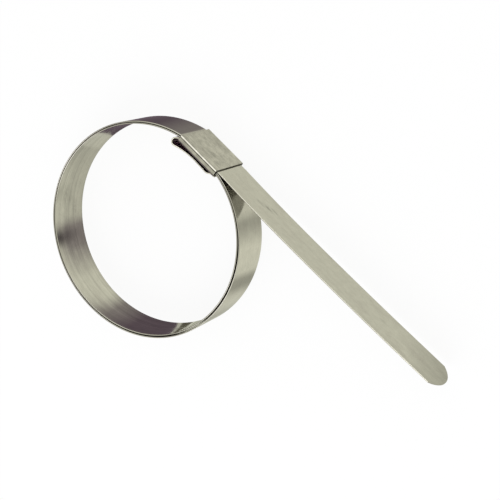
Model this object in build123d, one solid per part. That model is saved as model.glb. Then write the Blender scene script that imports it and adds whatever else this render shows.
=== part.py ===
from build123d import *
import os
from math import acos, atan2, cos, degrees, radians, sin, sqrt

# Preformed band clamp: one strip wound twice into a ring and drawn through a flat
# folded buckle, its long tail left free for tightening.
# Frame: origin at the ring's centre, half way across the band.
# +Z is the ring's axis, +Y points out through the buckle, +X runs along the tail.
# All lengths are in millimetres, all angles in degrees.

# Band
BAND_WIDTH = 15.875
BAND_THICK = 0.4
RING_RADIUS = 36.1          # hose side of the inner wrap
WRAP_GAP = 0.3              # mean air between the two wraps round the ring
WRAP_SHIFT = 0.14           # the outer wrap is centred this far along +X, which opens the gap there

# Buckle
BUCKLE_LENGTH = 16.7        # along the band
BUCKLE_SHEET = 0.5
FOLD_RADIUS = 0.9           # outside radius of the four long folds
SIDE_GAP = 0.86             # clearance beside the band's edges
LAYER_GAP = 0.08            # clearance between the layers and against the buckle's sheet
SEAM_GAP = 0.12             # butt seam along the middle of the base

# Bends where the layers leave the buckle and join the ring
MOUTH_BEND_LEFT = 2.0
MOUTH_INSET = 0.38          # the inner wrap flattens this far inside the buckle's left end
MOUTH_BEND_RIGHT = 4.0
MOUTH_BEND_INSET = 0.3      # the bends on the right start this far inside the buckle's end
RUN_ON = (45.0, 30.0)       # angle from +X where each wrap's run out of the buckle joins its circle

# Hook: the band's inner end, folded back under the base
HOOK_SET_IN = 0.25          # the first bend starts this far inside the base's end
HOOK_DIP = 38.0
HOOK_DIP_RADIUS = 1.25
HOOK_REACH = 1.5
HOOK_RADIUS = 1.3
LEG_RISE = 20.0
LEG_GAP = 0.95              # air between the leg's crest and the base
LEG_FALL = 2.0
STEP_INSET = 3.4            # the step up to the base starts this far inside the right end
STEP_RADIUS = 2.0
LEG_PAD = 0.9               # the end that lies flat along the base

# Tail
TAIL_FLAT = 2.4             # straight on past the buckle's end before the dip
TAIL_DIP = 1.9
TAIL_DIP_RADIUS = 20.0
TAIL_SPRING = ((800.0, 2.4), (1700.0, 1.45))
TAIL_LENGTH = 97.15         # from the buckle's end to the tip
TIP_RADIUS = 9.9

HALF = BAND_THICK / 2
PITCH = BAND_THICK + LAYER_GAP
WRAP_RADIUS = [RING_RADIUS + HALF + i * (BAND_THICK + WRAP_GAP) for i in range(2)]
WRAP_X = [0.0, WRAP_SHIFT]

# The middle layer lies where the inner wrap, coming up to the left end, flattens into it
FLAT_X = BUCKLE_LENGTH / 2 - MOUTH_INSET
MIDDLE_Y = MOUTH_BEND_LEFT + sqrt((WRAP_RADIUS[0] - MOUTH_BEND_LEFT) ** 2 - FLAT_X ** 2)
LAYER_Y = [MIDDLE_Y + (i - 1) * PITCH for i in range(3)]
BASE_Y = LAYER_Y[0] - HALF - LAYER_GAP - BUCKLE_SHEET
BUCKLE_HEIGHT = 2 * BUCKLE_SHEET + 3 * BAND_THICK + 4 * LAYER_GAP
BUCKLE_WIDTH = BAND_WIDTH + 2 * (SIDE_GAP + BUCKLE_SHEET)


class StripPath:
    """Centre line of a bent strip, kept as the two edges that run beside it."""

    def __init__(self, x, y, heading):
        self.x, self.y, self.heading = x, y, heading
        self.sides = []

    def beside(self, distance):
        a = radians(self.heading + 90)
        return Vector(self.x + distance * cos(a), self.y + distance * sin(a))

    def straight(self, length):
        start = [self.beside(s * HALF) for s in (1, -1)]
        self.x += length * cos(radians(self.heading))
        self.y += length * sin(radians(self.heading))
        end = [self.beside(s * HALF) for s in (1, -1)]
        self.sides += [Edge.make_line(p, q) for p, q in zip(start, end)]

    def bend(self, radius, angle):
        """Turn through angle, to the left when it is positive."""
        side = 1 if angle > 0 else -1
        centre = self.beside(side * radius)
        first = self.heading - side * 90
        for s in (1, -1):
            r = radius - s * side * HALF
            a, b = sorted((first, first + angle))
            plane = Plane(origin=(centre.X, centre.Y, 0), x_dir=(1, 0, 0), z_dir=(0, 0, 1))
            self.sides.append(Edge.make_circle(r, plane, a, b))
        self.heading += angle
        a = radians(self.heading - side * 90)
        self.x = centre.X + radius * cos(a)
        self.y = centre.Y + radius * sin(a)

    def end_cap(self):
        return Edge.make_line(self.beside(HALF), self.beside(-HALF))


def left_mouth(level, ring):
    """Half length of a flat layer at this level, and the bend that joins it to the ring."""
    half_length = sqrt((ring - MOUTH_BEND_LEFT) ** 2 - (level - MOUTH_BEND_LEFT) ** 2)
    return half_length, degrees(atan2(half_length, level - MOUTH_BEND_LEFT))


def right_mouth(level, ring, ring_x, bend, start_x, join):
    """Turn of the bend at the buckle's end, and the radius of the run from it to the ring.

    The run is tangent to the bend and, at the angle join, to the ring.
    """
    dx = ring_x - start_x
    dy = bend - level
    reach = dx * cos(radians(join)) + dy * sin(radians(join))
    run = (dx ** 2 + dy ** 2 + 2 * ring * reach + ring ** 2 - bend ** 2) / (2 * (reach + ring - bend))
    across = start_x - ring_x - (ring - run) * cos(radians(join))
    up = level - bend - (ring - run) * sin(radians(join))
    return degrees(atan2(across, up)), run


def hook_path():
    path = StripPath(-BUCKLE_LENGTH / 2 + HOOK_SET_IN, LAYER_Y[0], 180)
    path.bend(HOOK_DIP_RADIUS, HOOK_DIP)
    path.straight(HOOK_REACH)
    path.bend(HOOK_RADIUS, 180 - HOOK_DIP + LEG_RISE)
    crest = BASE_Y - LEG_GAP - HALF
    path.bend((crest - path.y) / (1 - cos(radians(LEG_RISE))), -LEG_RISE - LEG_FALL)
    path.straight((BUCKLE_LENGTH / 2 - STEP_INSET - path.x) / cos(radians(LEG_FALL)))
    path.heading = -LEG_FALL
    rise = BASE_Y - LAYER_GAP - HALF - path.y
    step = degrees(acos((1 + cos(radians(LEG_FALL)) - rise / STEP_RADIUS) / 2))
    path.bend(STEP_RADIUS, step + LEG_FALL)
    path.bend(STEP_RADIUS, -step)
    path.straight(LEG_PAD)
    return path


def winding_path():
    """Both wraps and the three layers, from the hook's bend to the end of the third layer."""
    path = StripPath(-BUCKLE_LENGTH / 2 + HOOK_SET_IN, LAYER_Y[0], 0)
    bend_x = BUCKLE_LENGTH / 2 - MOUTH_BEND_INSET
    for i, (ring, ring_x, join) in enumerate(zip(WRAP_RADIUS, WRAP_X, RUN_ON)):
        bend = MOUTH_BEND_RIGHT + i * PITCH
        turn, run = right_mouth(LAYER_Y[i], ring, ring_x, bend, bend_x, join)
        back_turn = left_mouth(LAYER_Y[i + 1], ring)[1]
        path.straight(bend_x - path.x)
        path.bend(bend, -turn)
        path.bend(run, turn + join - 90)
        path.bend(ring, back_turn - join - 270)
        path.bend(MOUTH_BEND_LEFT, -back_turn)
        path.heading = 0
    path.straight(BUCKLE_LENGTH / 2 + TAIL_FLAT - path.x)
    return path


def add_tail(path):
    reach = BUCKLE_LENGTH / 2 + TAIL_LENGTH
    path.bend(TAIL_DIP_RADIUS, -TAIL_DIP)
    for radius, angle in TAIL_SPRING:
        path.bend(radius, angle)
    path.straight((reach - path.x) / cos(radians(path.heading)))
    return path


def tip_cutter(path):
    """Takes the two corners off the tail's end, leaving one wide arc."""
    corner = TIP_RADIUS - sqrt(TIP_RADIUS ** 2 - (BAND_WIDTH / 2) ** 2)
    depth = 10 * BAND_THICK
    block = Box(2 * corner, depth, 2 * BAND_WIDTH)
    arc = Pos(-TIP_RADIUS, 0, 0) * Rot(90, 0, 0) * Cylinder(TIP_RADIUS, 2 * depth)
    return Pos(path.x, path.y, 0) * Rot(0, 0, path.heading) * (block - arc)


def make_band():
    hook = hook_path()
    winding = add_tail(winding_path())
    outline = hook.sides + winding.sides + [hook.end_cap(), winding.end_cap()]
    section = make_face(outline)
    strip = extrude(section, amount=BAND_WIDTH / 2, dir=(0, 0, 1), both=True)
    return strip - tip_cutter(winding)


def make_buckle():
    """A flat sleeve of one folded sheet, open at both ends, its two edges butted on the base."""
    centre_y = BASE_Y + BUCKLE_HEIGHT / 2
    at_end = Plane(origin=(-BUCKLE_LENGTH / 2, centre_y, 0), x_dir=(0, 0, 1), z_dir=(1, 0, 0))
    outside = at_end * RectangleRounded(BUCKLE_WIDTH, BUCKLE_HEIGHT, FOLD_RADIUS)
    inner_width = BUCKLE_WIDTH - 2 * BUCKLE_SHEET
    inner_height = BUCKLE_HEIGHT - 2 * BUCKLE_SHEET
    inside = at_end * RectangleRounded(inner_width, inner_height, FOLD_RADIUS - BUCKLE_SHEET)
    sleeve = extrude(outside - inside, amount=BUCKLE_LENGTH, dir=(1, 0, 0))
    seam = Pos(0, BASE_Y + BUCKLE_SHEET / 2, 0) * Box(2 * BUCKLE_LENGTH, 2 * BUCKLE_SHEET, SEAM_GAP)
    return sleeve - seam


os.makedirs("parts", exist_ok=True)
export_step(make_band(), "parts/band.step")
export_step(make_buckle(), "parts/buckle.step")
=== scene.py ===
from math import acos, atan2, cos, degrees, hypot, pi, radians, sin, sqrt

import bmesh
import bpy
from mathutils import Matrix, Vector


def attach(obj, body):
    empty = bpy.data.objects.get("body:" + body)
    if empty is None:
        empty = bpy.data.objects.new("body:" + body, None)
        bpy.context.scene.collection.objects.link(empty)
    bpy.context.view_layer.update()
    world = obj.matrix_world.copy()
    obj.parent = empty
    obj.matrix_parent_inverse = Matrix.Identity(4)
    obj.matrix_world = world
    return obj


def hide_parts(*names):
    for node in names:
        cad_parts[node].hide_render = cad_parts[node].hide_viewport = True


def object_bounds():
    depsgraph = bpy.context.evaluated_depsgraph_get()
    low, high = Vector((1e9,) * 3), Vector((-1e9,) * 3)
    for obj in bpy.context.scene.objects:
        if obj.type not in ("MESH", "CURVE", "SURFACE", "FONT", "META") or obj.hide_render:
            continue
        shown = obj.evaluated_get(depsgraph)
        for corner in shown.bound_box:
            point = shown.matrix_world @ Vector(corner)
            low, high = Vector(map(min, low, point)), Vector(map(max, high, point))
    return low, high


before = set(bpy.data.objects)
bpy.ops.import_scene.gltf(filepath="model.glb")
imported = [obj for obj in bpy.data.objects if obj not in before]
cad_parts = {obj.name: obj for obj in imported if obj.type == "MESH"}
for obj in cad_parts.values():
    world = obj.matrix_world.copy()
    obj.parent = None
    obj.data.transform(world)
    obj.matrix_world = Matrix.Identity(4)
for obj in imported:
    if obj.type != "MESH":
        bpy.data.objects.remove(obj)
cad_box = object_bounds()

MM = 0.001

# Strip and buckle sizes, in millimetres and degrees
BAND_WIDTH = 15.875
BAND_THICK = 0.4
RING_RADIUS = 36.1
WRAP_GAP = 0.3
WRAP_SHIFT = 0.14
BUCKLE_LENGTH = 16.7
BUCKLE_SHEET = 0.5
FOLD_RADIUS = 0.9
SIDE_GAP = 0.86
LAYER_GAP = 0.08
SEAM_GAP = 0.12
MOUTH_BEND_LEFT = 2.0
MOUTH_INSET = 0.38
MOUTH_BEND_RIGHT = 4.0
MOUTH_BEND_INSET = 0.3
RUN_ON = (45.0, 30.0)
HOOK_SET_IN = 0.25
HOOK_DIP = 38.0
HOOK_DIP_RADIUS = 1.25
HOOK_REACH = 1.5
HOOK_RADIUS = 1.3
LEG_RISE = 20.0
LEG_GAP = 0.95
LEG_FALL = 2.0
STEP_INSET = 3.4
STEP_RADIUS = 2.0
LEG_PAD = 0.9
TAIL_FLAT = 2.4
TAIL_DIP = 1.9
TAIL_DIP_RADIUS = 20.0
TAIL_SPRING = ((800.0, 2.4), (1700.0, 1.45))
TAIL_LENGTH = 97.15
TIP_RADIUS = 9.9
TIP_BLEND = 12.0            # length over which the square strip turns into the rounded tip
STRIP_EDGE = 0.18           # rounding of the strip's long edges
SHEET_EDGE = 0.12           # rounding of the buckle's cut ends
CUT_EDGE = 0.1              # rounding of the strip's two ends, and of the sheet's at the seam
EDGE_STEPS = 4              # facets in each rounded quarter of an edge
END_ANGLES = (0, 30, 60, 90)            # rows of the mesh round each cut end
BAND_ACROSS, SHEET_ACROSS = 16, 12      # facets across the flat faces of strip and sheet

# Turn of each facet in the bends
HOOK_STEP = 5.0
LEG_STEP = 2.0
RISE_STEP = 4.0
MOUTH_STEP = 2.0
RING_STEP = 1.25
DIP_STEP = 0.5
SPRING_STEP = 0.15
FOLD_STEP = 7.5

HALF = BAND_THICK / 2
PITCH = BAND_THICK + LAYER_GAP
WRAP_RADIUS = [RING_RADIUS + HALF + i * (BAND_THICK + WRAP_GAP) for i in range(2)]
WRAP_X = [0.0, WRAP_SHIFT]
FLAT_X = BUCKLE_LENGTH / 2 - MOUTH_INSET
MIDDLE_Y = MOUTH_BEND_LEFT + sqrt((WRAP_RADIUS[0] - MOUTH_BEND_LEFT) ** 2 - FLAT_X ** 2)
LAYER_Y = [MIDDLE_Y + (i - 1) * PITCH for i in range(3)]
BASE_Y = LAYER_Y[0] - HALF - LAYER_GAP - BUCKLE_SHEET
BUCKLE_HEIGHT = 2 * BUCKLE_SHEET + 3 * BAND_THICK + 4 * LAYER_GAP
BUCKLE_WIDTH = BAND_WIDTH + 2 * (SIDE_GAP + BUCKLE_SHEET)


class BendPath:
    """Centre line of a bent strip as a list of stations (x, y, heading)."""

    def __init__(self, x, y, heading):
        self.x, self.y, self.heading = x, y, heading
        self.stations = [(x, y, heading)]

    def straight(self, length, pieces=1):
        dx = cos(radians(self.heading)) * length / pieces
        dy = sin(radians(self.heading)) * length / pieces
        for _ in range(pieces):
            self.x += dx
            self.y += dy
            self.stations.append((self.x, self.y, self.heading))

    def bend(self, radius, angle, step):
        """Turn through angle, to the left when it is positive, in steps of about step degrees."""
        side = 1 if angle > 0 else -1
        pieces = max(2, round(abs(angle) / step))
        cx = self.x - side * radius * sin(radians(self.heading))
        cy = self.y + side * radius * cos(radians(self.heading))
        start = self.heading
        for i in range(1, pieces + 1):
            self.heading = start + angle * i / pieces
            self.x = cx + side * radius * sin(radians(self.heading))
            self.y = cy - side * radius * cos(radians(self.heading))
            self.stations.append((self.x, self.y, self.heading))


def left_mouth(level, ring):
    """Turn of the bend that joins a flat layer at this level to the ring, on the left."""
    half_length = sqrt((ring - MOUTH_BEND_LEFT) ** 2 - (level - MOUTH_BEND_LEFT) ** 2)
    return degrees(atan2(half_length, level - MOUTH_BEND_LEFT))


def right_mouth(level, ring, ring_x, bend, start_x, join):
    """Turn of the bend at the buckle's end, and the radius of the run from it to the ring.

    The run is tangent to the bend and, at the angle join, to the ring.
    """
    dx = ring_x - start_x
    dy = bend - level
    reach = dx * cos(radians(join)) + dy * sin(radians(join))
    run = (dx ** 2 + dy ** 2 + 2 * ring * reach + ring ** 2 - bend ** 2) / (2 * (reach + ring - bend))
    across = start_x - ring_x - (ring - run) * cos(radians(join))
    up = level - bend - (ring - run) * sin(radians(join))
    return degrees(atan2(across, up)), run


def hook_stations():
    """From the end of the leg, round the hook, to the start of the lowest flat layer."""
    path = BendPath(-BUCKLE_LENGTH / 2 + HOOK_SET_IN, LAYER_Y[0], 180)
    path.bend(HOOK_DIP_RADIUS, HOOK_DIP, HOOK_STEP)
    path.straight(HOOK_REACH, pieces=2)
    path.bend(HOOK_RADIUS, 180 - HOOK_DIP + LEG_RISE, HOOK_STEP)
    crest = BASE_Y - LEG_GAP - HALF
    path.bend((crest - path.y) / (1 - cos(radians(LEG_RISE))), -LEG_RISE - LEG_FALL, LEG_STEP)
    path.straight((BUCKLE_LENGTH / 2 - STEP_INSET - path.x) / cos(radians(LEG_FALL)), pieces=4)
    rise = BASE_Y - LAYER_GAP - HALF - path.y
    step = degrees(acos((1 + cos(radians(LEG_FALL)) - rise / STEP_RADIUS) / 2))
    path.bend(STEP_RADIUS, step + LEG_FALL, RISE_STEP)
    path.bend(STEP_RADIUS, -step, RISE_STEP)
    path.straight(LEG_PAD)
    return [(x, y, heading - 180) for x, y, heading in reversed(path.stations)]


def winding_stations():
    """Both wraps, the three flat layers and the tail."""
    path = BendPath(-BUCKLE_LENGTH / 2 + HOOK_SET_IN, LAYER_Y[0], 0)
    bend_x = BUCKLE_LENGTH / 2 - MOUTH_BEND_INSET
    for i, (ring, ring_x, join) in enumerate(zip(WRAP_RADIUS, WRAP_X, RUN_ON)):
        bend = MOUTH_BEND_RIGHT + i * PITCH
        turn, run = right_mouth(LAYER_Y[i], ring, ring_x, bend, bend_x, join)
        back_turn = left_mouth(LAYER_Y[i + 1], ring)
        path.straight(bend_x - path.x, pieces=4)
        path.bend(bend, -turn, MOUTH_STEP)
        path.bend(run, turn + join - 90, RING_STEP)
        path.bend(ring, back_turn - join - 270, RING_STEP)
        path.bend(MOUTH_BEND_LEFT, -back_turn, MOUTH_STEP)
        path.heading = 0
    path.straight(BUCKLE_LENGTH / 2 + TAIL_FLAT - path.x, pieces=4)
    path.bend(TAIL_DIP_RADIUS, -TAIL_DIP, DIP_STEP)
    for radius, angle in TAIL_SPRING:
        path.bend(radius, angle, SPRING_STEP)
    reach = BUCKLE_LENGTH / 2 + TAIL_LENGTH
    path.straight((reach - path.x) / cos(radians(path.heading)), pieces=20)
    return path.stations


def sleeve_stations():
    """Middle line of the buckle's sheet from one side of the seam round to the other."""
    width = BUCKLE_WIDTH - BUCKLE_SHEET
    height = BUCKLE_HEIGHT - BUCKLE_SHEET
    radius = FOLD_RADIUS - BUCKLE_SHEET / 2
    path = BendPath(SEAM_GAP / 2, BASE_Y + BUCKLE_SHEET / 2, 0)
    half_base = width / 2 - radius - SEAM_GAP / 2
    path.straight(half_base, pieces=6)
    for length, pieces in ((height, 2), (width, 12), (height, 2)):
        path.bend(radius, 90, FOLD_STEP)
        path.straight(length - 2 * radius, pieces)
    path.bend(radius, 90, FOLD_STEP)
    path.straight(half_base, pieces=6)
    return path.stations


def add_object(name, data):
    thing = bpy.data.objects.new(name, data)
    bpy.context.scene.collection.objects.link(thing)
    return thing


def strip_section(width, thick, edge, across):
    """Loop round a strip's cross section: (across, through, normal across, normal through)."""
    half_w = width / 2 - edge
    half_t = thick / 2 - edge
    loop = []
    for side, low in ((1, 0), (-1, 180)):
        for i in range(across + 1):
            loop.append((side * half_w * (2 * i / across - 1), side * thick / 2, 0.0, side))
        for k in range(1, EDGE_STEPS + 1):
            a = radians(low + 90 - 90 * k / EDGE_STEPS)
            corner_w = half_w + edge * abs(cos(a))
            loop.append((side * corner_w, side * half_t + edge * sin(a), cos(a), sin(a)))
        for k in range(EDGE_STEPS):
            a = radians(low - 90 * k / EDGE_STEPS)
            corner_w = half_w + edge * abs(cos(a))
            loop.append((side * corner_w, -side * half_t + edge * sin(a), cos(a), sin(a)))
    return loop


def sweep(name, stations, width, thick, edge, across, place, tip_radius=None):
    """A strip of this width and thickness along the stations, with rounded edges and ends.

    The stations lie in the plane that place turns into the frame's. The vertices keep how far
    along the strip they lie, which face they are on and how far round an edge.
    """
    section = strip_section(width, thick, edge, across)
    lengths = [0.0]
    for a, b in zip(stations, stations[1:]):
        lengths.append(lengths[-1] + hypot(b[0] - a[0], b[1] - a[1]))
    total = lengths[-1]
    # Rows of the mesh: station, move along, thinning at the rounded end, lean of the normal, length
    ends = []
    for a in END_ANGLES:
        back, thin = CUT_EDGE * (1 - cos(radians(a))), CUT_EDGE * (1 - sin(radians(a)))
        ends.append((back, thin, 90 - a))
    end_zone = 1.5 * CUT_EDGE
    rows = [(stations[0], back, thin, -lean, 0.0) for back, thin, lean in ends]
    for station, s in list(zip(stations, lengths))[1:-1]:
        if end_zone < s < total - end_zone:
            rows.append((station, 0.0, 0.0, 0.0, s))
    rows += [(stations[-1], -back, thin, lean, total) for back, thin, lean in reversed(ends)]
    mesh = bmesh.new()
    layers = {label: mesh.verts.layers.float.new(label) for label in ("along", "side", "rim")}
    grid = []
    normals = []
    for (x, y, heading), shift, thin, lean, s in rows:
        hx, hy = cos(radians(heading)), sin(radians(heading))
        flatter = 1 - thin / (thick / 2)
        lift, keep = sin(radians(lean)), cos(radians(lean))
        row = []
        for w, t, nw, nt in section:
            move, slope = shift, 0.0
            if tip_radius and s > total - TIP_BLEND:
                u = (s - total + TIP_BLEND) / TIP_BLEND
                move -= u * u * (3 - 2 * u) * (tip_radius - sqrt(tip_radius ** 2 - w * w))
            if tip_radius and lean > 0:
                slope = w / tip_radius
            ahead = lift * sqrt(1 - slope * slope)
            up = nt * keep
            vert = mesh.verts.new(Vector(place(x + hx * move - hy * t * flatter,
                                               y + hy * move + hx * t * flatter, w)) * MM)
            vert[layers["along"]] = (s + move) * MM
            vert[layers["side"]] = nt * keep
            vert[layers["rim"]] = abs(nw) * keep
            normals.append(Vector(place(hx * ahead - hy * up, hy * ahead + hx * up,
                                        nw * keep + lift * slope)).normalized())
            row.append(vert)
        grid.append(row)
    count = len(section)
    for low, high in zip(grid, grid[1:]):
        for c in range(count):
            d = (c + 1) % count
            mesh.faces.new((low[c], low[d], high[d], high[c]))
    # End faces: strips of quads between the two sides of the section, so that no long face is left
    for row in (grid[0], grid[-1]):
        top, bottom = across, across + 2 * EDGE_STEPS + 1
        for k in range(across):
            mesh.faces.new((row[top - k], row[top - k - 1], row[bottom + k + 1], row[bottom + k]))
        mesh.faces.new(row[top:bottom + 1])
        mesh.faces.new(row[bottom + across:] + [row[0]])
    bmesh.ops.recalc_face_normals(mesh, faces=mesh.faces)
    data = bpy.data.meshes.new(name)
    mesh.to_mesh(data)
    mesh.free()
    data.shade_smooth()
    data.normals_split_custom_set_from_vertices(normals)
    return add_object(name, data)


band = sweep("band_strip", hook_stations() + winding_stations()[1:], BAND_WIDTH, BAND_THICK,
             STRIP_EDGE, BAND_ACROSS, lambda x, y, z: (x, y, z), TIP_RADIUS)
buckle = sweep("buckle_sleeve", sleeve_stations(), BUCKLE_LENGTH, BUCKLE_SHEET,
               SHEET_EDGE, SHEET_ACROSS, lambda x, y, z: (z, y, x))


# Shader building blocks. Stretches are in waves a metre along X, Y and Z.
NOISE_ROUGHNESS = 0.6
FINE_LINES = (26.0, 26.0, 1700.0)
BROAD_LINES = (20.0, 20.0, 480.0)
CLOUDS = (420.0, 420.0, 520.0)
SMEARS, SMEAR_MASK = (90.0, 90.0, 260.0), (0.5, 0.72)
# Two sets of scratches: turn of the set, stretch, and the noise at which a scratch starts
SCRATCH_SETS = (((0.3, 0.5, 0.9), (1500.0, 160.0, 160.0), 0.66),
                ((1.1, 0.2, 2.1), (1900.0, 120.0, 150.0), 0.68))
SCRATCH_SOFTNESS = 0.06
RUB_GRAIN, RUB_MASK = (420.0, 900.0, 2400.0), (0.32, 0.58)
EDGE_MASK = (0.25, 0.8)                 # of the mesh's value rim, which is 1 on the strip's edges
INSIDE_MASK = (0.0, -0.5)               # of its value side, 1 on the strip's outside and -1 inside


class Nodes:
    """Short hand for adding and wiring nodes in one tree."""

    def __init__(self, tree):
        self.tree = tree

    def add(self, kind, **settings):
        node = self.tree.nodes.new(kind)
        for key, value in settings.items():
            setattr(node, key, value)
        return node

    def link(self, start, end):
        self.tree.links.new(start, end)

    def math(self, operation, a, b=None, clamp=False):
        node = self.add("ShaderNodeMath", operation=operation, use_clamp=clamp)
        for socket, value in zip(node.inputs, (a, b)):
            if value is None:
                continue
            if isinstance(value, (int, float)):
                socket.default_value = value
            else:
                self.link(value, socket)
        return node.outputs[0]

    def ramp(self, factor, stops):
        node = self.add("ShaderNodeValToRGB")
        elements = node.color_ramp.elements
        while len(elements) > 1:
            elements.remove(elements[-1])
        for i, (position, colour) in enumerate(stops):
            element = elements[0] if i == 0 else elements.new(position)
            element.position = position
            element.color = (*colour, 1)
        self.link(factor, node.inputs[0])
        return node.outputs[0]

    def mix(self, factor, a, b):
        node = self.add("ShaderNodeMix", data_type="RGBA")
        sockets = {s.name: s for s in node.inputs if s.enabled}
        for socket, value in zip((sockets["Factor"], sockets["A"], sockets["B"]), (factor, a, b)):
            if isinstance(value, tuple):
                socket.default_value = (*value, 1)
            elif isinstance(value, (int, float)):
                socket.default_value = value
            else:
                self.link(value, socket)
        return [s for s in node.outputs if s.enabled][0]


def new_group(name, inputs, outputs):
    group = bpy.data.node_groups.new(name, "ShaderNodeTree")
    for label, value in inputs:
        socket = group.interface.new_socket(name=label, in_out="INPUT", socket_type="NodeSocketFloat")
        socket.default_value = value
    for label in outputs:
        group.interface.new_socket(name=label, in_out="OUTPUT", socket_type="NodeSocketFloat")
    nodes = Nodes(group)
    return group, nodes, nodes.add("NodeGroupInput"), nodes.add("NodeGroupOutput")


def empty_material(name):
    material = bpy.data.materials.new(name)
    material.use_nodes = True
    material.node_tree.nodes.clear()
    return material, Nodes(material.node_tree)


def stretched_noise(nodes, place, detail, stretch):
    """Noise in the object's own place, drawn out along the axes that stretch makes small."""
    mapping = nodes.add("ShaderNodeMapping")
    mapping.inputs["Scale"].default_value = stretch
    nodes.link(place, mapping.inputs["Vector"])
    noise = nodes.add("ShaderNodeTexNoise")
    noise.inputs["Scale"].default_value = 1.0
    noise.inputs["Detail"].default_value = detail
    noise.inputs["Roughness"].default_value = NOISE_ROUGHNESS
    nodes.link(mapping.outputs[0], noise.inputs["Vector"])
    return noise.outputs["Fac"]


def map_range(nodes, value, low, high, smooth=False):
    node = nodes.add("ShaderNodeMapRange", clamp=True,
                     interpolation_type="SMOOTHSTEP" if smooth else "LINEAR")
    node.inputs["From Min"].default_value = low
    node.inputs["From Max"].default_value = high
    nodes.link(value, node.inputs["Value"])
    return node.outputs[0]


def object_place(nodes):
    return nodes.add("ShaderNodeTexCoord").outputs["Object"]


def build_rolling_grain():
    """Lengthwise lines that the mill's rolls leave along the strip, and a slow cloudiness."""
    group, nodes, inp, out = new_group("rolling_grain", [("Line Strength", 1.0), ("Cloud Strength", 1.0)],
                                       ["Lines", "Clouds"])
    place = object_place(nodes)
    fine = stretched_noise(nodes, place, 3.0, FINE_LINES)
    broad = stretched_noise(nodes, place, 2.0, BROAD_LINES)
    lines = nodes.math("SUBTRACT", nodes.math("ADD", nodes.math("MULTIPLY", fine, 0.5),
                                              nodes.math("MULTIPLY", broad, 0.5)), 0.5)
    nodes.link(nodes.math("MULTIPLY", lines, inp.outputs["Line Strength"]), out.inputs["Lines"])
    cloud = stretched_noise(nodes, place, 4.0, CLOUDS)
    clouds = nodes.math("MULTIPLY", nodes.math("SUBTRACT", cloud, 0.5), inp.outputs["Cloud Strength"])
    nodes.link(clouds, out.inputs["Clouds"])
    return group


def build_handling_marks():
    """Short hairline scratches in two directions, where noise drawn out along a line peaks."""
    group, nodes, inp, out = new_group("handling_marks", [("Amount", 1.0)], ["Scratches", "Smears"])
    place = object_place(nodes)
    marks = []
    for turn, stretch, low in SCRATCH_SETS:
        rotate = nodes.add("ShaderNodeVectorRotate", rotation_type="EULER_XYZ")
        rotate.inputs["Rotation"].default_value = turn
        nodes.link(place, rotate.inputs["Vector"])
        noise = stretched_noise(nodes, rotate.outputs[0], 1.0, stretch)
        marks.append(map_range(nodes, noise, low, low + SCRATCH_SOFTNESS))
    both = nodes.math("MAXIMUM", marks[0], marks[1])
    nodes.link(nodes.math("MULTIPLY", both, inp.outputs["Amount"]), out.inputs["Scratches"])
    smear = stretched_noise(nodes, place, 3.0, SMEARS)
    nodes.link(nodes.math("MULTIPLY", map_range(nodes, smear, *SMEAR_MASK), inp.outputs["Amount"]),
               out.inputs["Smears"])
    return group


def build_rub():
    """One rubbed place: strong at the centre, broken up by noise, gone at its edge."""
    group, nodes, inp, out = new_group("rub", [("X", 0.0), ("Y", 0.0), ("Z", 0.0), ("Length", 0.002),
                                               ("Breadth", 0.001)], ["Mask"])
    place = object_place(nodes)
    split = nodes.add("ShaderNodeSeparateXYZ")
    nodes.link(place, split.inputs[0])
    parts = []
    for axis, label, size in ((0, "X", "Length"), (1, "Y", "Length"), (2, "Z", "Breadth")):
        step = nodes.math("SUBTRACT", split.outputs[axis], inp.outputs[label])
        step = nodes.math("DIVIDE", step, inp.outputs[size])
        parts.append(nodes.math("MULTIPLY", step, step))
    far = nodes.math("SQRT", nodes.math("ADD", nodes.math("ADD", parts[0], parts[1]), parts[2]))
    near = map_range(nodes, far, 1.0, 0.0, True)
    broken = stretched_noise(nodes, place, 3.0, RUB_GRAIN)
    broken = map_range(nodes, broken, *RUB_MASK)
    nodes.link(nodes.math("MULTIPLY", near, broken), out.inputs["Mask"])
    return group


def strip_value(nodes, label):
    """One of the values that sweep keeps in the mesh: along, side or rim."""
    return nodes.add("ShaderNodeAttribute", attribute_name=label).outputs["Fac"]


def build_strip_faces():
    """Masks of the rounded edges and of the face inside the bends."""
    group, nodes, _, out = new_group("strip_faces", [], ["Edge", "Inside"])
    nodes.link(map_range(nodes, strip_value(nodes, "rim"), *EDGE_MASK), out.inputs["Edge"])
    nodes.link(map_range(nodes, strip_value(nodes, "side"), *INSIDE_MASK), out.inputs["Inside"])
    return group


rolling_grain = build_rolling_grain()
handling_marks = build_handling_marks()
rub = build_rub()
strip_faces = build_strip_faces()

# How the steel's finish, with the painted highlight on edges and painted shade in the hook, is put
# together. Shades and tints are shares of its colour.
SPECULAR_TINT = 0.68
GRAIN_SHADES = (0.72, 1.28)             # darkest and lightest
OUTER_LINES, INNER_LINES = 0.45, 2.0    # strength of the rolling lines outside and inside the ring
SMEAR_TINT, SMEAR_SHARE = (0.66, 0.6, 0.62), 0.16
SCRATCH_SHADE, SCRATCH_SHARE = 0.4, 0.07
RUB_SHADE = 0.3
PAINTED_EDGE_HIGHLIGHT = 2.0                         # painted highlight: brightest edge, as a multiple of the rim colour
HOOK_HIGHLIGHT_SHARE, TAIL_HIGHLIGHT_SHARE = 0.95, 0.45       # share of that painted highlight on the hook and on the tail
HOOK_FADE = (0.2, -0.9)                 # millimetres past the hook's end
TAIL_FADE = (0.0, 2.0)                  # millimetres past the tail's start
HOOK_PAINTED_SHADE = (0.30, 0.21, 0.27)              # painted shade inside the hook, on its face and not on its edges
HOOK_PAINTED_SHADE_SIDE, HOOK_PAINTED_SHADE_RIM = (-0.3, -0.8), (0.45, 0.1)
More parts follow.
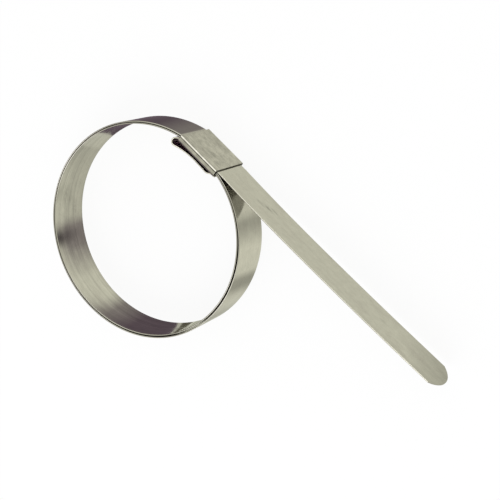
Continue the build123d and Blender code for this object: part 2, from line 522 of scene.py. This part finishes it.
LINE_ROUGHNESS, CLOUD_ROUGHNESS, SMEAR_ROUGHNESS = 0.1, 0.06, 0.08
SCRATCH_DEPTH = 0.15
BUMP_STRENGTH, BUMP_DISTANCE = 0.12, 0.00002


def shade(colour, share):
    return tuple(c * share for c in colour)


def steel(name, colour, roughness, line_strength, cloud_strength, marks, rubs, rim, ends=None):
    """Bright rolled steel.

    Grain lines and clouds vary its colour and roughness, marks and rubs dull it, and the rim colour
    takes over on the edges, where a dark one is painted shade. With ends, the lengths at which the hook
    stops and the tail starts, the edges of both get a painted highlight and the hook's inside a painted
    shade.
    """
    material = bpy.data.materials.new(name)
    material.use_nodes = True
    nodes = Nodes(material.node_tree)
    shader = material.node_tree.nodes["Principled BSDF"]
    shader.inputs["Metallic"].default_value = 1.0
    shader.inputs["Specular Tint"].default_value = (SPECULAR_TINT, SPECULAR_TINT, SPECULAR_TINT, 1.0)
    grain = nodes.add("ShaderNodeGroup", node_tree=rolling_grain)
    grain.inputs["Line Strength"].default_value = line_strength
    grain.inputs["Cloud Strength"].default_value = cloud_strength
    wear = nodes.add("ShaderNodeGroup", node_tree=handling_marks)
    wear.inputs["Amount"].default_value = marks
    faces = nodes.add("ShaderNodeGroup", node_tree=strip_faces)
    strength = nodes.math("MULTIPLY", faces.outputs["Inside"], INNER_LINES - OUTER_LINES)
    strength = nodes.math("ADD", strength, OUTER_LINES)
    drawn = nodes.math("MULTIPLY", grain.outputs["Lines"], strength)
    level = nodes.math("ADD", nodes.math("ADD", drawn, grain.outputs["Clouds"]), 0.5, clamp=True)
    tone = nodes.mix(level, *(shade(colour, share) for share in GRAIN_SHADES))
    smear = nodes.math("MULTIPLY", wear.outputs["Smears"], SMEAR_SHARE)
    tone = nodes.mix(smear, tone, tuple(c * t for c, t in zip(colour, SMEAR_TINT)))
    scratch = nodes.math("MULTIPLY", wear.outputs["Scratches"], SCRATCH_SHARE)
    tone = nodes.mix(scratch, tone, shade(colour, SCRATCH_SHADE))
    for (x, y, z), length, breadth, depth in rubs:
        spot = nodes.add("ShaderNodeGroup", node_tree=rub)
        for label, value in zip(("X", "Y", "Z", "Length", "Breadth"), (x, y, z, length, breadth)):
            spot.inputs[label].default_value = value * MM
        tone = nodes.mix(nodes.math("MULTIPLY", spot.outputs[0], depth), tone, shade(colour, RUB_SHADE))
    if ends:
        along = strip_value(nodes, "along")
        hook, tail = (map_range(nodes, along, (end + fade[0]) * MM, (end + fade[1]) * MM)
                      for end, fade in zip(ends, (HOOK_FADE, TAIL_FADE)))
        # Painted highlight on the edges of the hook and of the tail
        painted_highlight = nodes.math("ADD", nodes.math("MULTIPLY", hook, HOOK_HIGHLIGHT_SHARE),
                              nodes.math("MULTIPLY", tail, TAIL_HIGHLIGHT_SHARE))
        rim = nodes.mix(painted_highlight, rim, shade(rim, PAINTED_EDGE_HIGHLIGHT))
    # Edge colour over the rounded edges: on the buckle near black, a painted shade
    tone = nodes.mix(faces.outputs["Edge"], tone, rim)
    if ends:
        # Painted shade on the inside face of the hook, fading out past its end
        painted_shade = nodes.math("MULTIPLY", hook, map_range(nodes, strip_value(nodes, "side"), *HOOK_PAINTED_SHADE_SIDE))
        off_edge = map_range(nodes, strip_value(nodes, "rim"), *HOOK_PAINTED_SHADE_RIM)
        painted_shade = nodes.math("MULTIPLY", painted_shade, off_edge)
        tone = nodes.mix(painted_shade, tone, HOOK_PAINTED_SHADE)
    nodes.link(tone, shader.inputs["Base Color"])
    rough = nodes.math("ADD", nodes.math("MULTIPLY", drawn, LINE_ROUGHNESS), roughness)
    rough = nodes.math("ADD", rough, nodes.math("MULTIPLY", grain.outputs["Clouds"], CLOUD_ROUGHNESS))
    rough = nodes.math("ADD", rough, nodes.math("MULTIPLY", wear.outputs["Smears"], SMEAR_ROUGHNESS))
    nodes.link(rough, shader.inputs["Roughness"])
    bump = nodes.add("ShaderNodeBump")
    bump.inputs["Strength"].default_value = BUMP_STRENGTH
    bump.inputs["Distance"].default_value = BUMP_DISTANCE
    cuts = nodes.math("MULTIPLY", wear.outputs["Scratches"], SCRATCH_DEPTH)
    nodes.link(nodes.math("SUBTRACT", drawn, cuts), bump.inputs["Height"])
    nodes.link(bump.outputs[0], shader.inputs["Normal"])
    return material


# Rubbed places: centre on the surface, half length, half breadth (millimetres) and depth of tone
BAND_RUBS = (((24.2, 35.7, 0.9), 3.2, 1.0, 0.5), ((26.9, 35.7, -0.3), 3.4, 1.1, 0.6),
             ((29.0, 35.7, -2.0), 3.0, 1.0, 0.45), ((78.7, 36.5, -0.8), 2.4, 1.2, 0.25),
             ((-32.4, -16.2, 2.8), 5.5, 2.4, 0.35), ((-31.6, -17.4, -0.4), 4.5, 2.0, 0.3),
             ((-29.6, -20.8, -3.2), 5.5, 2.0, 0.3))
ROOF_RUBS = (((2.2, 36.6, 2.9), 2.8, 1.8, 0.5), ((-3.7, 36.6, 3.5), 2.2, 1.6, 0.3),
             ((5.8, 36.6, 0.6), 2.4, 1.4, 0.25))


def path_length(stations):
    return sum(hypot(b[0] - a[0], b[1] - a[1]) for a, b in zip(stations, stations[1:]))


hook_length = path_length(hook_stations())
tail_start = hook_length + path_length(winding_stations()) - TAIL_LENGTH
# The band's edge colour, a little darker than its face, is a slight painted shade
band_steel = steel("band_steel", colour=(0.466, 0.456, 0.425), roughness=0.09, line_strength=1.0,
                   cloud_strength=0.5, marks=1.0, rubs=BAND_RUBS, rim=(0.44, 0.43, 0.4),
                   ends=(hook_length, tail_start))
# The buckle's near-black edge colour is painted shade on its cut ends
buckle_steel = steel("buckle_steel", colour=(0.415, 0.403, 0.375), roughness=0.15, line_strength=0.7,
                     cloud_strength=2.0, marks=0.8, rubs=ROOF_RUBS, rim=(0.1, 0.09, 0.08))
band.data.materials.append(band_steel)
buckle.data.materials.append(buckle_steel)

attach(band, "root")
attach(buckle, "root")
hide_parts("band")
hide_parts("buckle")

# Studio: pale floor, soft lamp, and the glowing cards of painted reflection and painted shadow that the
# steel mirrors

FLOOR_SIZE = 4.0
FLOOR_Z = cad_box[0].z - 0.00002
FLOOR_COLOUR = (0.96, 0.96, 0.96, 1)
FLOOR_GLOW = 0.9              # how far the floor is lifted to plain white for the camera, over its shadow
CARD_SIZE = 6.0
CARD_Z = -0.120               # the glowing card of painted reflection that the steel mirrors lies this far below the ring
CARD_CENTRE = (-0.003, -0.008)
CARD_WHITE = (0.98, 0.98, 0.82)
CARD_SHADE = (1.0, 0.765, 0.91)
SHADE_START, SHADE_FULL = 0.5, 0.25         # levels between which the tint drifts from white to shade

# Panels of the card by compass direction round its centre, 0 along +X and turning towards +Y:
# where each starts and ends, and its tone. Between two panels one tone runs softly into the next.
# The clamp's hollow side mirrors the near panels, its outside the far ones.
# The card's glow is painted reflection, and its dark panels painted shadow.
BRIGHT, LIT, PALE, MIDDLE, GREY, DARK = 1.25, 1.10, 0.85, 0.70, 0.40, 0.20
NEAR_PANELS = ((0, 15, PALE), (28, 52, GREY), (92, 126, LIT), (146, 152, GREY), (180, 250, DARK),
               (258, 360, PALE))
FAR_PANELS = ((0, 18, BRIGHT), (38, 42, MIDDLE), (52, 112, LIT), (136, 142, GREY), (165, 252, DARK),
              (262, 298, MIDDLE), (318, 329, BRIGHT), (340, 348, MIDDLE), (356, 360, BRIGHT))
NEAR_TO_FAR = (0.073, 0.080)                # distances from the centre between which far takes over
CARD_SPOT = ((0.060, 0.042), 0.021, 0.92)   # centre, radius and depth of a darker spot, a painted shade
SPOT_LEVEL = 0.07
# Tone against compass direction beyond the reach of the walls, its dark stretch painted shadow, and where
# it takes over
CARD_EDGE = ((0, .85), (170, .85), (192, .3), (250, .3), (275, .85), (359.9, .85))
FAR_TO_EDGE = (0.14, 0.19)

# Small glowing cards above the big one, painted reflection and painted shade, each in the way
# of one group of mirrored rays: corners in millimetres and level of tone, or its colour
SMALL_CARD_Z = -0.040
SMALL_CARDS = {
    "shade_card_left": (((-41, -22.3), (-28.7, -12.3), (-30, 8), (-56, 8), (-56, -22.3)), .20),
    "light_card_left": (((-41, -22.3), (-46, -31), (-30, -31), (-23.5, -27), (-23.5, -12.3),
                         (-28.7, -12.3)), 1.05),
    "light_strip_front": (((4.2, -31.5), (3.8, -46), (5.4, -46), (6.9, -31.5)), 1.0),
    "olive_card_front": (((6.9, -31.5), (5.4, -46), (10.2, -46), (14.0, -31.5)), (.175, .165, .115)),
    "light_edge_front": (((14.0, -31.5), (10.2, -46), (11.5, -46), (15.6, -31.5)), 1.3),
    "grey_card_front": (((15.6, -31.5), (11.5, -46), (25, -46), (25, -31.5)), (.65, .66, .52)),
}


def card_tone(level):
    """Warm white for the painted lit part of the card, drifting to a cool dark tone in its painted shaded
    part.
    """
    drift = min(1.0, max(0.0, (SHADE_START - level) / (SHADE_START - SHADE_FULL)))
    tint = [w + drift * (c - w) for w, c in zip(CARD_WHITE, CARD_SHADE)]
    return tuple(level * t for t in tint)


def panel_stops(panels):
    return [(angle, tone) for start, end, tone in panels for angle in (start, end)]


def grey_tone(level):
    return (level, level, level)


def compass_ramp(nodes, x, y, stops, tone):
    """Tone by the compass direction of (x, y), from stops in degrees."""
    turn = nodes.math("DIVIDE", nodes.math("ARCTAN2", y, x), 2 * pi)
    turn = nodes.math("FRACT", nodes.math("ADD", turn, 1.0))
    return nodes.ramp(turn, [(a / 360, tone(v)) for a, v in stops])


def distance(nodes, x, y):
    return nodes.math("SQRT", nodes.math("ADD", nodes.math("MULTIPLY", x, x), nodes.math("MULTIPLY", y, y)))


def show_in_mirror_only(card):
    card.visible_camera = False
    card.visible_diffuse = False
    card.visible_shadow = False


def build_card():
    bpy.ops.mesh.primitive_plane_add(size=CARD_SIZE, location=(0, 0, CARD_Z))
    card = bpy.context.object
    card.name = "mirrored_card"
    material, nodes = empty_material("card_tones")
    split = nodes.add("ShaderNodeSeparateXYZ")
    nodes.link(object_place(nodes), split.inputs[0])
    x = nodes.math("SUBTRACT", split.outputs[0], CARD_CENTRE[0])
    y = nodes.math("SUBTRACT", split.outputs[1], CARD_CENTRE[1])
    near = compass_ramp(nodes, x, y, panel_stops(NEAR_PANELS), card_tone)
    far = compass_ramp(nodes, x, y, panel_stops(FAR_PANELS), card_tone)
    reach = distance(nodes, x, y)
    tone = nodes.mix(map_range(nodes, reach, *NEAR_TO_FAR), near, far)
    centre, radius, depth = CARD_SPOT
    spot_x = nodes.math("SUBTRACT", split.outputs[0], centre[0])
    spot_y = nodes.math("SUBTRACT", split.outputs[1], centre[1])
    spot = map_range(nodes, distance(nodes, spot_x, spot_y), radius, 0.0, True)
    tone = nodes.mix(nodes.math("MULTIPLY", spot, depth), tone, card_tone(SPOT_LEVEL))
    edge = compass_ramp(nodes, x, y, CARD_EDGE, card_tone)
    tone = nodes.mix(map_range(nodes, reach, *FAR_TO_EDGE), tone, edge)
    glow = nodes.add("ShaderNodeEmission")
    nodes.link(tone, glow.inputs["Color"])
    nodes.link(glow.outputs[0], nodes.add("ShaderNodeOutputMaterial").inputs["Surface"])
    card.data.materials.append(material)
    show_in_mirror_only(card)


def build_small_cards():
    for name, (corners, tone) in SMALL_CARDS.items():
        data = bpy.data.meshes.new(name)
        data.from_pydata([(x * MM, y * MM, SMALL_CARD_Z) for x, y in corners], [], [range(len(corners))])
        card = add_object(name, data)
        material, nodes = empty_material(name + "_tone")
        glow = nodes.add("ShaderNodeEmission")
        colour = tone if isinstance(tone, tuple) else card_tone(tone)
        glow.inputs["Color"].default_value = (*colour, 1)
        nodes.link(glow.outputs[0], nodes.add("ShaderNodeOutputMaterial").inputs["Surface"])
        data.materials.append(material)
        show_in_mirror_only(card)


# The world as the steel mirrors it. Sky: level against height, 0 straight down and 1 straight up.
SKY = ((.40, .85), (.55, .95), (.70, 1.05), (.90, 1.0), (1.0, .95))
# A bright bank at the side of the buckle: share by compass direction, height fade and level
BANK = ((0, 0.0), (60, 0.0), (85, 1.0), (128, 1.0), (150, .4), (168, 0.0), (359.9, 0.0))
BANK_FADE = (0.86, 0.66)
BANK_LEVEL = 2.3
BANK_WARMTH = 0.93
# A dim side away from it, in the same terms
DIM = ((0, 0.0), (165, 0.0), (188, 1.0), (250, 1.0), (280, 0.5), (330, 0.5), (350, 0.0), (359.9, 0.0))
DIM_FADE = (0.80, 0.60)
DIM_LEVEL = .3
# A dark patch high up: direction, full and faded angle as cosines, level
DARK_PATCH = ((-0.2, 0.19, 0.96), 0.985, 0.93, 0.12)
PATCH_WARMTH = 0.8
ROOM_LIGHT = (0.85, 0.85, 0.85)             # what lights floor and clamp softly from all round
BACKDROP_WHITE = (1.0, 1.0, 1.0)


def build_surroundings():
    """White behind the clamp for camera rays, toned like a room where steel mirrors it."""
    world = bpy.data.worlds.new("studio")
    bpy.context.scene.world = world
    world.use_nodes = True
    world.node_tree.nodes.clear()
    nodes = Nodes(world.node_tree)
    looking = nodes.add("ShaderNodeTexCoord").outputs["Generated"]
    split = nodes.add("ShaderNodeSeparateXYZ")
    nodes.link(looking, split.inputs[0])
    x, y, z = split.outputs
    height = nodes.math("MULTIPLY", nodes.math("ADD", z, 1.0), 0.5)
    sky = nodes.ramp(height, [(a, card_tone(v)) for a, v in SKY])
    bank = compass_ramp(nodes, x, y, BANK, grey_tone)
    bank = nodes.math("MULTIPLY", bank, map_range(nodes, z, *BANK_FADE))
    sky = nodes.mix(bank, sky, (BANK_LEVEL, BANK_LEVEL, BANK_LEVEL * BANK_WARMTH))
    dim = compass_ramp(nodes, x, y, DIM, grey_tone)
    dim = nodes.math("MULTIPLY", dim, map_range(nodes, z, *DIM_FADE))
    sky = nodes.mix(dim, sky, card_tone(DIM_LEVEL))
    direction, full, faded, level = DARK_PATCH
    toward = nodes.add("ShaderNodeVectorMath", operation="DOT_PRODUCT")
    toward.inputs[1].default_value = Vector(direction).normalized()
    nodes.link(looking, toward.inputs[0])
    patch = map_range(nodes, toward.outputs["Value"], faded, full)
    sky = nodes.mix(patch, sky, (level, level, level * PATCH_WARMTH))
    rays = nodes.add("ShaderNodeLightPath").outputs
    backdrop = nodes.mix(rays["Is Camera Ray"], sky, BACKDROP_WHITE)
    seen = nodes.math("MAXIMUM", rays["Is Camera Ray"],
                      nodes.math("MAXIMUM", rays["Is Glossy Ray"], rays["Is Transmission Ray"]))
    background = nodes.add("ShaderNodeBackground")
    nodes.link(nodes.mix(seen, ROOM_LIGHT, backdrop), background.inputs["Color"])
    nodes.link(background.outputs[0], nodes.add("ShaderNodeOutputWorld").inputs["Surface"])


def build_floor():
    bpy.ops.mesh.primitive_plane_add(size=FLOOR_SIZE, location=(0, 0, FLOOR_Z))
    floor = bpy.context.object
    floor.name = "floor"
    material, nodes = empty_material("floor_paper")
    paper = nodes.add("ShaderNodeBsdfDiffuse")
    paper.inputs["Color"].default_value = FLOOR_COLOUR
    white = nodes.add("ShaderNodeEmission")
    clear = nodes.add("ShaderNodeBsdfTransparent")
    rays = nodes.add("ShaderNodeLightPath").outputs
    lit = nodes.add("ShaderNodeMixShader")
    nodes.link(nodes.math("MULTIPLY", rays["Is Camera Ray"], FLOOR_GLOW), lit.inputs[0])
    nodes.link(paper.outputs[0], lit.inputs[1])
    nodes.link(white.outputs[0], lit.inputs[2])
    # Mirrored rays go through the floor to the cards below it
    shown = nodes.add("ShaderNodeMixShader")
    nodes.link(nodes.math("MAXIMUM", rays["Is Glossy Ray"], rays["Is Transmission Ray"]), shown.inputs[0])
    nodes.link(lit.outputs[0], shown.inputs[1])
    nodes.link(clear.outputs[0], shown.inputs[2])
    nodes.link(shown.outputs[0], nodes.add("ShaderNodeOutputMaterial").inputs["Surface"])
    floor.data.materials.append(material)


LAMP_SIZE = 0.7
LAMP_POWER = 3.2
LAMP_SIDE = (0.5, -0.6, 0.9)                # direction of the lamp, one metre away


def build_lamp():
    data = bpy.data.lights.new("soft_lamp", "AREA")
    data.size = LAMP_SIZE
    data.energy = LAMP_POWER
    lamp = add_object("soft_lamp", data)
    aim = Vector(LAMP_SIDE).normalized()
    lamp.location = aim
    lamp.rotation_mode = "QUATERNION"
    lamp.rotation_quaternion = aim.to_track_quat("Z", "Y")


# Camera fitted to the photo's outline: place in millimetres, and the way its frame is turned
SENSOR_WIDTH = 36.0
LENS = 80.16
CLIP = (0.01, 20.0)
CAMERA_PLACE = (104.863, 191.911, 313.852)
CAMERA_RIGHT = (0.68287, 0.56144, -0.46741)
CAMERA_DOWN = (0.70206, -0.68125, 0.20740)
CAMERA_FORWARD = (-0.20198, -0.46978, -0.85937)


def build_camera():
    data = bpy.data.cameras.new("camera")
    data.sensor_width = SENSOR_WIDTH
    data.lens = LENS
    data.clip_start, data.clip_end = CLIP
    camera = add_object("camera", data)
    turn = Matrix((Vector(CAMERA_RIGHT), -Vector(CAMERA_DOWN), -Vector(CAMERA_FORWARD)))
    camera.matrix_world = Matrix.Translation(Vector(CAMERA_PLACE) * MM) @ turn.transposed().to_4x4()
    bpy.context.scene.camera = camera


build_surroundings()
build_card()
build_small_cards()
build_floor()
build_lamp()
build_camera()
bpy.context.scene.view_settings.view_transform = "Standard"
